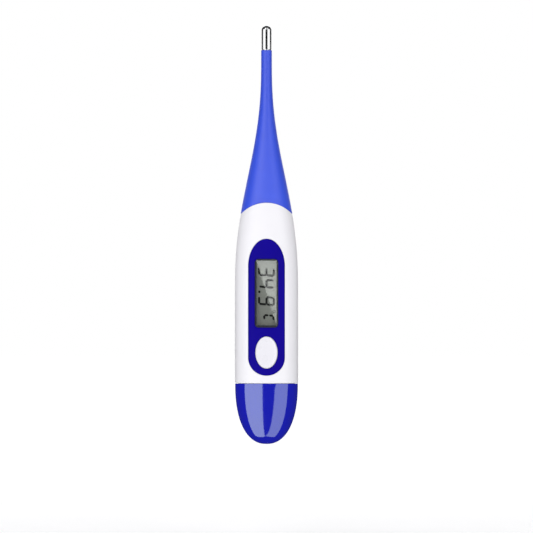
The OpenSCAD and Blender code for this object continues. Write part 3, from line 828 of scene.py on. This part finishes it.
def insides():
    """Copies of the soft parts, and paint for the CAD nodes that stay in view."""
    soft_copy("snap_dome", "spring_steel")
    soft_copy("button_seal", "silicone")
    slots = {s["node"]: s["material_slot"] for s in record["subparts"]}
    for name, obj in frame["nodes"].items():
        if not obj.hide_render:
            paint(obj, slots[name])
    frame["nodes"]["lcd_rear_glass"].data.materials[0] = M["reflector_grey"]
    for name in ("front_polariser", "lcd_front_glass"):
        let_light_in(frame["nodes"][name])


# ---------------------------------------------------------------- stage

def camera():
    """Level with the object and in front of it."""
    distance, height = 2.0, 0.056
    seen = 0.168  # width of the picture at the object, in metres
    data = bpy.data.cameras.new("camera")
    data.sensor_width = 36
    data.lens = data.sensor_width * distance / seen
    data.clip_start, data.clip_end = 0.05, 50
    obj = link("camera", data)
    obj.location = (0, -distance, height)
    obj.rotation_euler = (math.pi / 2, 0, 0)
    bpy.context.scene.camera = obj


def area_light(name, azimuth, elevation, width, height, radiance, distance=1.0, roll=0,
               glossy=True):
    """A soft box, in metres, that faces the object's middle from a direction in degrees."""
    data = bpy.data.lights.new(name, "AREA")
    data.shape, data.size, data.size_y = "RECTANGLE", width, height
    data.energy = radiance * math.pi * width * height
    obj = link(name, data)
    a, e = math.radians(azimuth), math.radians(elevation)
    out = np.array([math.sin(a) * math.cos(e), -math.cos(a) * math.cos(e), math.sin(e)])
    obj.location = np.array((0, 0, TIP / 2 * MM)) + out * distance
    face = Vector(out).to_track_quat("Z", "Y")
    obj.rotation_euler = (face @ Quaternion((0, 0, 1), math.radians(roll))).to_euler()
    obj.visible_camera = False
    obj.visible_glossy = glossy


def lights():
    def wide(lo, hi):
        """Width, a metre away, of what spans these azimuths."""
        return 2 * math.tan(math.radians((hi - lo) / 2))

    area_light("key_left", -24.5, 0, wide(3, 46), 3.3, 1.6)
    area_light("key_right", 26.5, 0, wide(9.5, 43.5), 3.3, 1.12, roll=-8)
    area_light("back_fill", 180, 10, 0.9, 1.6, 1.7)
    area_light("rim_left", -130, 5, 0.9, 1.8, 0.35, glossy=False)
    area_light("rim_right", 130, 5, 0.9, 1.8, 0.35, glossy=False)
    area_light("side_fill", 82, 0, 0.9, 1.8, 0.14, glossy=False)
    area_light("top_fill", 0, 80, 1.0, 1.0, 0.5, distance=1.2, glossy=False)


def sky():
    """White to the camera, dim in mirrors, and a soft fill for everything else."""
    seen, mirrored, fill = 1.0, 0.06, 0.42
    world = bpy.data.worlds.new("world")
    bpy.context.scene.world = world
    world.use_nodes = True
    tree = world.node_tree
    tree.nodes.clear()
    path = tree.nodes.new("ShaderNodeLightPath")

    def choose(ray, otherwise, chosen):
        node = tree.nodes.new("ShaderNodeMix")
        node.data_type = "FLOAT"
        tree.links.new(path.outputs[ray], node.inputs[0])
        if isinstance(otherwise, bpy.types.NodeSocket):
            tree.links.new(otherwise, node.inputs[2])
        else:
            node.inputs[2].default_value = otherwise
        node.inputs[3].default_value = chosen
        return node.outputs[0]

    background = tree.nodes.new("ShaderNodeBackground")
    background.inputs["Color"].default_value = (1, 1, 1, 1)
    strength = choose("Is Camera Ray", choose("Is Glossy Ray", fill, mirrored), seen)
    tree.links.new(strength, background.inputs["Strength"])
    out = tree.nodes.new("ShaderNodeOutputWorld")
    tree.links.new(background.outputs[0], out.inputs["Surface"])


def reflector(name, verts, faces, glow):
    """A card that only mirrored light sees."""
    obj = add_mesh(name, verts, faces)
    g = Graph(name + "_glow")
    paper = g.add("Emission", Color=(1, 1, 1), Strength=glow)
    obj.data.materials.append(g.end(paper))
    obj.visible_camera = obj.visible_diffuse = False
    obj.visible_shadow = obj.visible_transmission = False
    return obj


def window_card():
    """The card mirrored by the display; its left edge slants."""
    ahead, glow = 60.0, 2.2
    corners = ((-3.9, 59.6), (3.55, 36.4), (6, 36.4), (6, 59.6))
    return reflector("window_card", [(x, -ahead, z) for x, z in corners], [(0, 1, 2, 3)], glow)


def tip_cards():
    """Curved cards that the tip mirrors: a dark front and bright sides, and a bright back.

    The back cards stand low and far, so that only views from a little above meet them.
    """
    steps = 12
    near, far = (80, 122.5, 165), (300, 105, 131)  # radius, foot and top
    cards = []
    for name, lo, hi, (r, foot, top), glow in (
            ("tip_front", -24, 24, near, 0.0), ("tip_left", -80, -24, near, 1.6),
            ("tip_right", 24, 80, near, 1.6), ("tip_back_left", -156, -100, far, 1.2),
            ("tip_back_right", 100, 156, far, 1.2)):
        arc = [math.radians(t) for t in np.linspace(lo, hi, steps + 1)]
        verts = [(r * math.sin(t), -r * math.cos(t), z) for z in (foot, top) for t in arc]
        faces = [(k, k + 1, k + steps + 2, k + steps + 1) for k in range(steps)]
        cards.append(reflector(name, verts, faces, glow))
    return cards


def floor():
    """A pale disc below the object that turns to plain white further out; sizes in metres."""
    radius, height, sides = 4, -0.03, 96
    pale_to, white_from = 0.16, 0.32
    mesh = bpy.data.meshes.new("floor")
    t = np.linspace(0, 2 * math.pi, sides, endpoint=False)
    rim_points = [(radius * math.cos(a), radius * math.sin(a), height) for a in t]
    mesh.from_pydata(rim_points, [], [tuple(range(sides))])
    obj = link("floor", mesh)
    g = Graph("floor_pale")
    length = g.tree.nodes.new("ShaderNodeVectorMath")
    length.operation = "LENGTH"
    g.put(length.inputs[0], g.place)
    away = g.span(length.outputs["Value"], 0, 1, pale_to, white_from)
    pale = g.mix(g.span(g.noise(40, 3), 0, 1), (0.78, 0.78, 0.79), (0.8, 0.8, 0.81))
    near = g.add("AddShader")
    g.put(near.inputs[0], g.add("BsdfDiffuse", Color=pale).outputs[0])
    g.put(near.inputs[1], g.add("Emission", Color=(1, 1, 1), Strength=0.25).outputs[0])
    white = g.add("Emission", Color=(1, 1, 1), Strength=1.02)
    mesh.materials.append(g.end(g.blend(away, near, white)))
    obj.visible_glossy = obj.visible_diffuse = obj.visible_shadow = False
    return obj


def stage():
    camera()
    lights()
    sky()
    card, cards = window_card(), tip_cards()
    floor()

    view = bpy.context.scene.view_settings
    view.view_transform = "Standard"
    view.look = "None"
    view.exposure, view.gamma = 0, 1


handle()
bezel()
lens()
button()
cover()
seal()
cell()
sleeve()
metal_tip()
leads()
insides()
stage()
